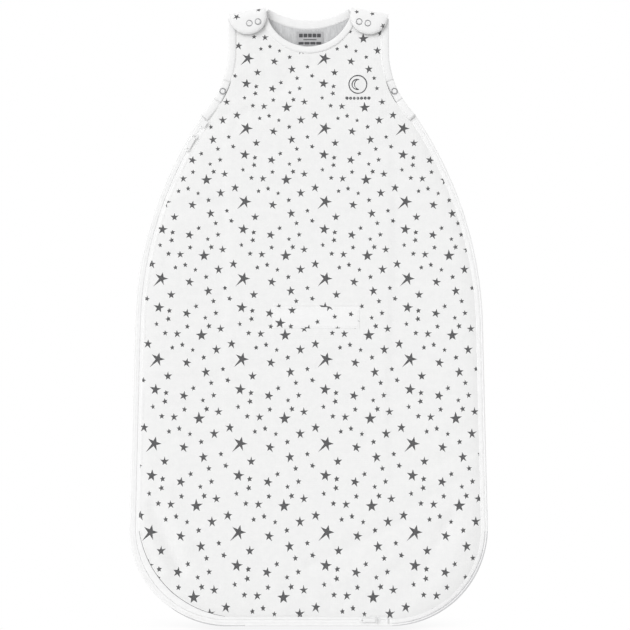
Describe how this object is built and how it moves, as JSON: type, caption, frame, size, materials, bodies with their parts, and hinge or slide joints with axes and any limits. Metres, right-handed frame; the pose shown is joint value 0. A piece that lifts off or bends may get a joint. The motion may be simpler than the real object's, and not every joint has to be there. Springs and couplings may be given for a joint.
{
  "type": "baby sleeping bag",
  "caption": "Sleeveless wearable blanket for a baby, with snap shoulder tabs, a side and hem zip with two sliders, and a covered harness slot.",
  "frame": {"origin": "outer face of the back panel, on the centre line at mid height", "axes": "+Z along the length towards the neck, +X to the right seen from the front, front face towards -Y"},
  "size_m": [0.51, 0.0216, 0.8789],
  "materials": {
    "star_cotton": "white cotton jersey with a grey star print",
    "trim_cotton": "white ribbed cotton binding",
    "merino_lining": "light grey heather wool jersey",
    "zip_tape": "white woven polyester tape",
    "zip_coil": "white nylon coil",
    "zip_metal": "white enamelled",
    "snap_metal": "satin nickel ring",
    "label_cloth": "woven satin label",
    "motif_thread": "satin stitch embroidery"
  },
  "bodies": {
    "bag": {"armhole_binding_back_left": "trim_cotton", "armhole_binding_back_right": "trim_cotton", "armhole_binding_front_left": "trim_cotton", "armhole_binding_front_right": "trim_cotton", "armhole_binding_lower_left": "trim_cotton", "armhole_binding_lower_right": "trim_cotton", "back_lining": "merino_lining", "back_shell": "star_cotton", "belt_flap_hem": "star_cotton", "belt_slot_welt_back": "trim_cotton", "belt_slot_welt_front": "trim_cotton", "chest_motif": "motif_thread", "edge_piping": "trim_cotton", "front_lining": "merino_lining", "front_shell": "star_cotton", "neck_binding_back": "trim_cotton", "neck_binding_front": "trim_cotton", "neck_label": "label_cloth", "shoulder_strap_left": "star_cotton", "shoulder_strap_right": "star_cotton", "shoulder_stud_left_inner": "snap_metal", "shoulder_stud_left_outer": "snap_metal", "shoulder_stud_right_inner": "snap_metal", "shoulder_stud_right_outer": "snap_metal", "side_seam_band": "trim_cotton", "underarm_stud_left": "snap_metal", "underarm_stud_right": "snap_metal", "zip_coil_back": "zip_coil", "zip_coil_front_end": "zip_coil", "zip_coil_front_upper": "zip_coil", "zip_end_stop": "zip_metal", "zip_garage": "trim_cotton", "zip_tape_back": "zip_tape", "zip_tape_front_end": "zip_tape", "zip_tape_front_upper": "zip_tape", "zip_top_stop": "zip_metal"},
    "left_tab": {"tab_shell_left": "star_cotton", "tab_lining_left": "merino_lining", "tab_snap_left_inner": "snap_metal", "tab_snap_left_outer": "snap_metal"},
    "right_tab": {"tab_shell_right": "star_cotton", "tab_lining_right": "merino_lining", "tab_snap_right_inner": "snap_metal", "tab_snap_right_outer": "snap_metal"},
    "front_flap": {"front_flap_shell": "star_cotton", "front_flap_lining": "merino_lining", "zip_tape_front_lower": "zip_tape", "zip_coil_front_lower": "zip_coil"},
    "belt_cover": {"belt_flap": "star_cotton"},
    "upper_slider": {"zip_slider_upper": "zip_metal"},
    "upper_pull": {"zip_pull_upper": "zip_metal"},
    "lower_slider": {"zip_slider_lower": "zip_metal"},
    "lower_pull": {"zip_pull_lower": "zip_metal"},
    "left_strip": {"underarm_strip_left": "trim_cotton", "underarm_snap_left": "snap_metal"},
    "right_strip": {"underarm_strip_right": "trim_cotton", "underarm_snap_right": "snap_metal"}
  },
  "joints": [
    {"name": "left_tab_fold", "type": "hinge", "parent": "bag", "child": "left_tab", "pos_m": [-0.08733, -0.0101, 0.43577], "axis": [-0.9833, 0, -0.1822], "range_deg": [0, 178]},
    {"name": "right_tab_fold", "type": "hinge", "parent": "bag", "child": "right_tab", "pos_m": [0.08733, -0.0101, 0.43577], "axis": [-0.9833, 0, 0.1822], "range_deg": [0, 178]},
    {"name": "front_flap_fold", "type": "hinge", "parent": "bag", "child": "front_flap", "pos_m": [-0.0935, -0.0155, -0.245], "axis": [-0.6185, 0, 0.7858], "range_deg": [0, 165]},
    {"name": "belt_flap_lift", "type": "hinge", "parent": "bag", "child": "belt_cover", "pos_m": [0.011, -0.0165, 0.01535], "axis": [-1, 0, 0], "range_deg": [0, 170]},
    {"name": "upper_zip_travel", "type": "hinge", "parent": "bag", "child": "upper_slider", "pos_m": [0.30509, -0.0083, -0.02352], "axis": [0, -1, 0], "range_deg": [0, 26]},
    {"name": "upper_pull_swing", "type": "hinge", "parent": "upper_slider", "child": "upper_pull", "pos_m": [-0.16126, -0.0116, 0.25669], "axis": [-0.8572, 0, 0.515], "range_deg": [0, 150]},
    {"name": "lower_zip_travel", "type": "slide", "parent": "bag", "child": "lower_slider", "axis": [-1, 0, 0], "range_m": [0, 0.19]},
    {"name": "lower_pull_swing", "type": "hinge", "parent": "lower_slider", "child": "lower_pull", "pos_m": [0.096, -0.0116, -0.4293], "axis": [0, 0, 1], "range_deg": [0, 150]},
    {"name": "left_underarm_unsnap", "type": "hinge", "parent": "bag", "child": "left_strip", "pos_m": [-0.11674, -0.0085, 0.3193], "axis": [0.4305, 0, 0.9026], "range_deg": [0, 50]},
    {"name": "right_underarm_unsnap", "type": "hinge", "parent": "bag", "child": "right_strip", "pos_m": [0.11674, -0.0085, 0.3193], "axis": [0.4305, 0, -0.9026], "range_deg": [0, 50]}
  ]
}
